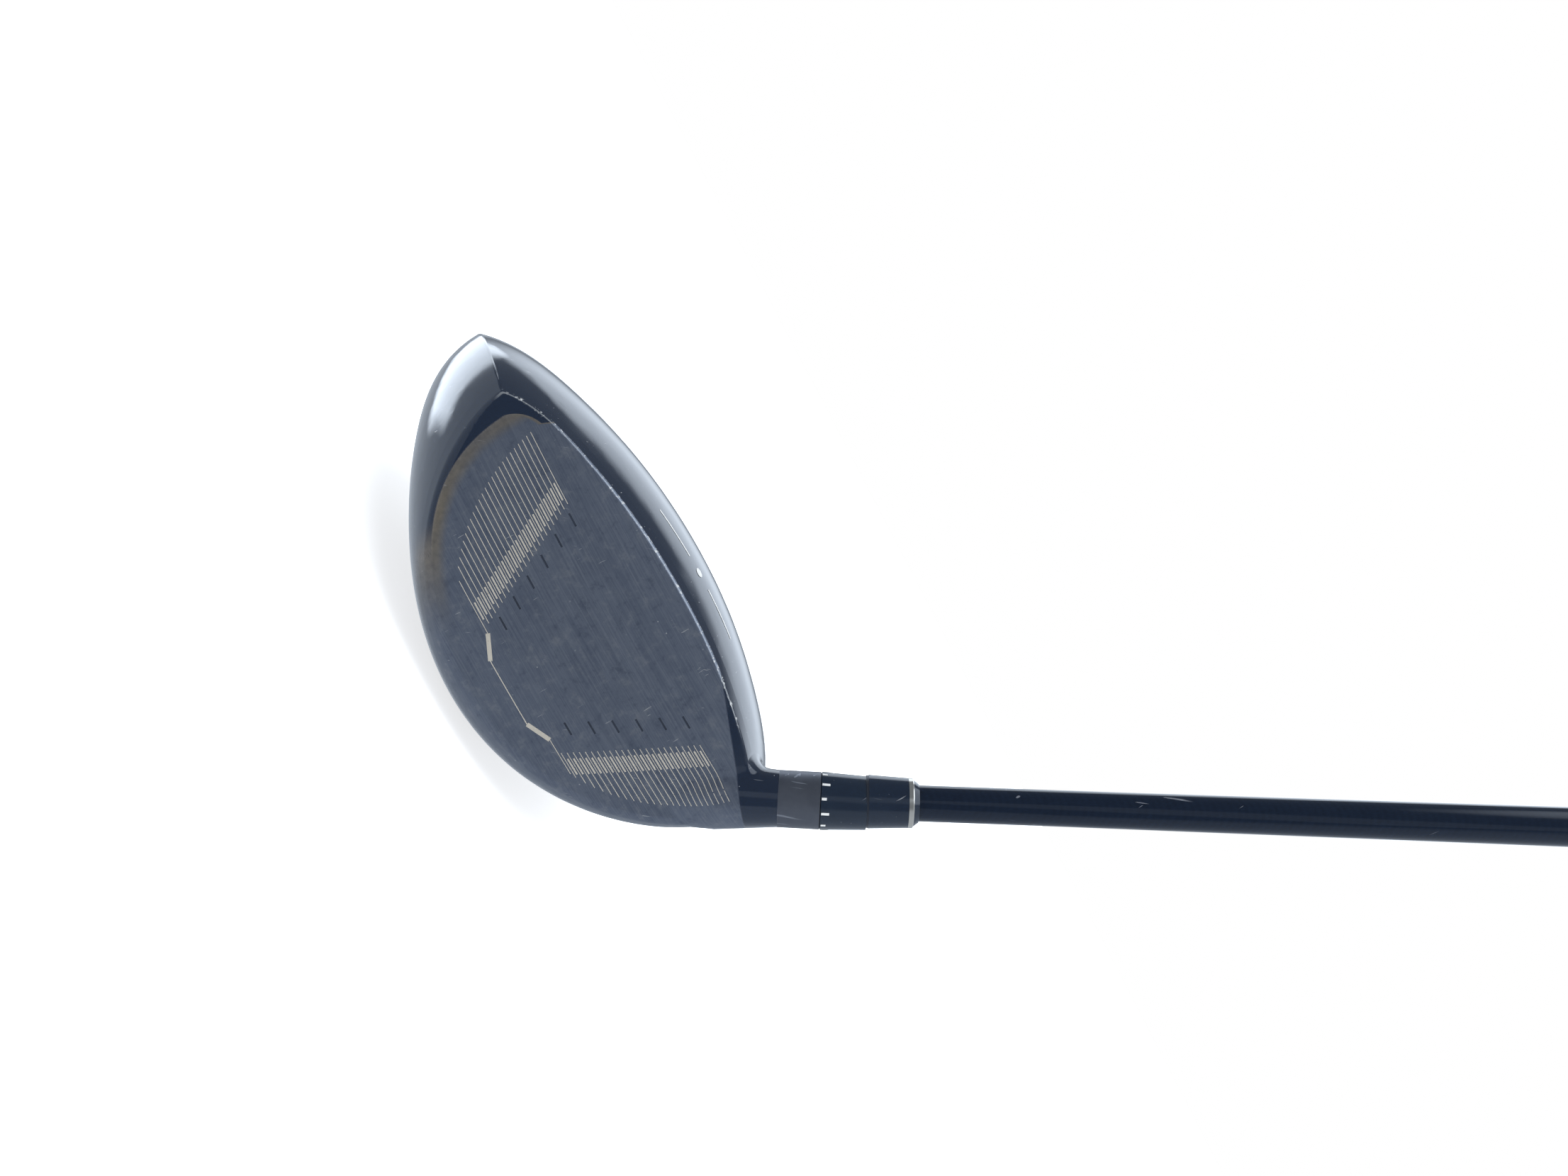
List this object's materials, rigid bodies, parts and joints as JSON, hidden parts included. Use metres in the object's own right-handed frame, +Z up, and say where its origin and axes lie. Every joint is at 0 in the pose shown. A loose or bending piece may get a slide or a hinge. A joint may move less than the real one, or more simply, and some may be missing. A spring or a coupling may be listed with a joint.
{
  "type": "golf driver",
  "caption": "Right-handed golf driver: hollow oversize head with brushed face, gloss black shell, adjustable screw-held hosel sleeve, graphite shaft and rubber grip.",
  "frame": {"origin": "centre of the small flat on the sole that the head rests on at address", "axes": "+Z up from the ground, -Y the way the face looks, -X towards the toe, +X towards the heel and the grip"},
  "size_m": [0.6856, 0.1076, 1.0175],
  "materials": {
    "face_satin": "satin, fine horizontal brushing",
    "gloss_black_paint": "deep gloss lacquer",
    "satin_titanium": "satin grey ring",
    "raw_titanium": "as cast, unseen inside",
    "sleeve_black": "black anodised, semi-gloss",
    "ferrule_black": "polished black plastic",
    "bright_ring": "polished, light scratches",
    "graphite_shaft": "gloss blue-black lacquer over carbon",
    "marking": "light grey paint fill",
    "grip_rubber": "moulded pattern, matt",
    "tape": "masking-paper tape",
    "screw_steel": "dark zinc, machined",
    "weight_steel": "turned and satin",
    "gasket": "black nylon",
    "brass": "turned",
    "plug_plastic": "moulded"
  },
  "bodies": {
    "shaft_assembly": {"shaft": "graphite_shaft", "tip_plug": "plug_plastic", "adapter_sleeve": "sleeve_black", "index_ticks": "marking", "index_dots": "marking", "sleeve_spacer": "satin_titanium", "ferrule": "ferrule_black", "ferrule_ring": "bright_ring", "ferrule_tip": "ferrule_black", "grip_tape": "tape", "grip": "grip_rubber", "grip_cap": "grip_rubber", "butt_counterweight": "brass"},
    "screw_retainer": {"screw_washer": "screw_steel"},
    "head": {"face_plate": "face_satin", "crown_shell": "gloss_black_paint", "sole_body": "gloss_black_paint", "sole_rib_toe": "raw_titanium", "sole_rib_heel": "raw_titanium", "alignment_mark": "marking", "weight_port": "satin_titanium", "hosel_collar": "satin_titanium"},
    "hosel_screw": {"hosel_screw": "screw_steel"},
    "weight_gasket": {"weight_gasket": "gasket"},
    "rear_weight": {"rear_weight": "weight_steel"}
  },
  "joints": [
    {"name": "head_release", "type": "slide", "parent": "shaft_assembly", "child": "screw_retainer", "axis": [-0.5075, 0, -0.8616], "range_m": [0, 0.0048]},
    {"name": "loft_index", "type": "hinge", "parent": "screw_retainer", "child": "head", "pos_m": [0.0653, -0.014, 0.0654], "axis": [0.5075, 0, 0.8616], "continuous": true},
    {"name": "hosel_screw_turn", "type": "hinge", "parent": "screw_retainer", "child": "hosel_screw", "pos_m": [0.03992, -0.014, 0.02232], "axis": [-0.5075, 0, -0.8616], "range_deg": [0, 2161]},
    {"name": "weight_out", "type": "slide", "parent": "head", "child": "weight_gasket", "axis": [0, 0.342, -0.9397], "range_m": [0, 0.006]},
    {"name": "weight_turn", "type": "hinge", "parent": "weight_gasket", "child": "rear_weight", "pos_m": [-0.003, 0.0585, 0.0116], "axis": [0, 0.342, -0.9397], "range_deg": [0, 2161]}
  ],
  "couplings": [
    {"joint": "hosel_screw_turn", "follows": "head_release", "rad_per_m": 7854},
    {"joint": "weight_turn", "follows": "weight_out", "rad_per_m": 6283.2}
  ]
}
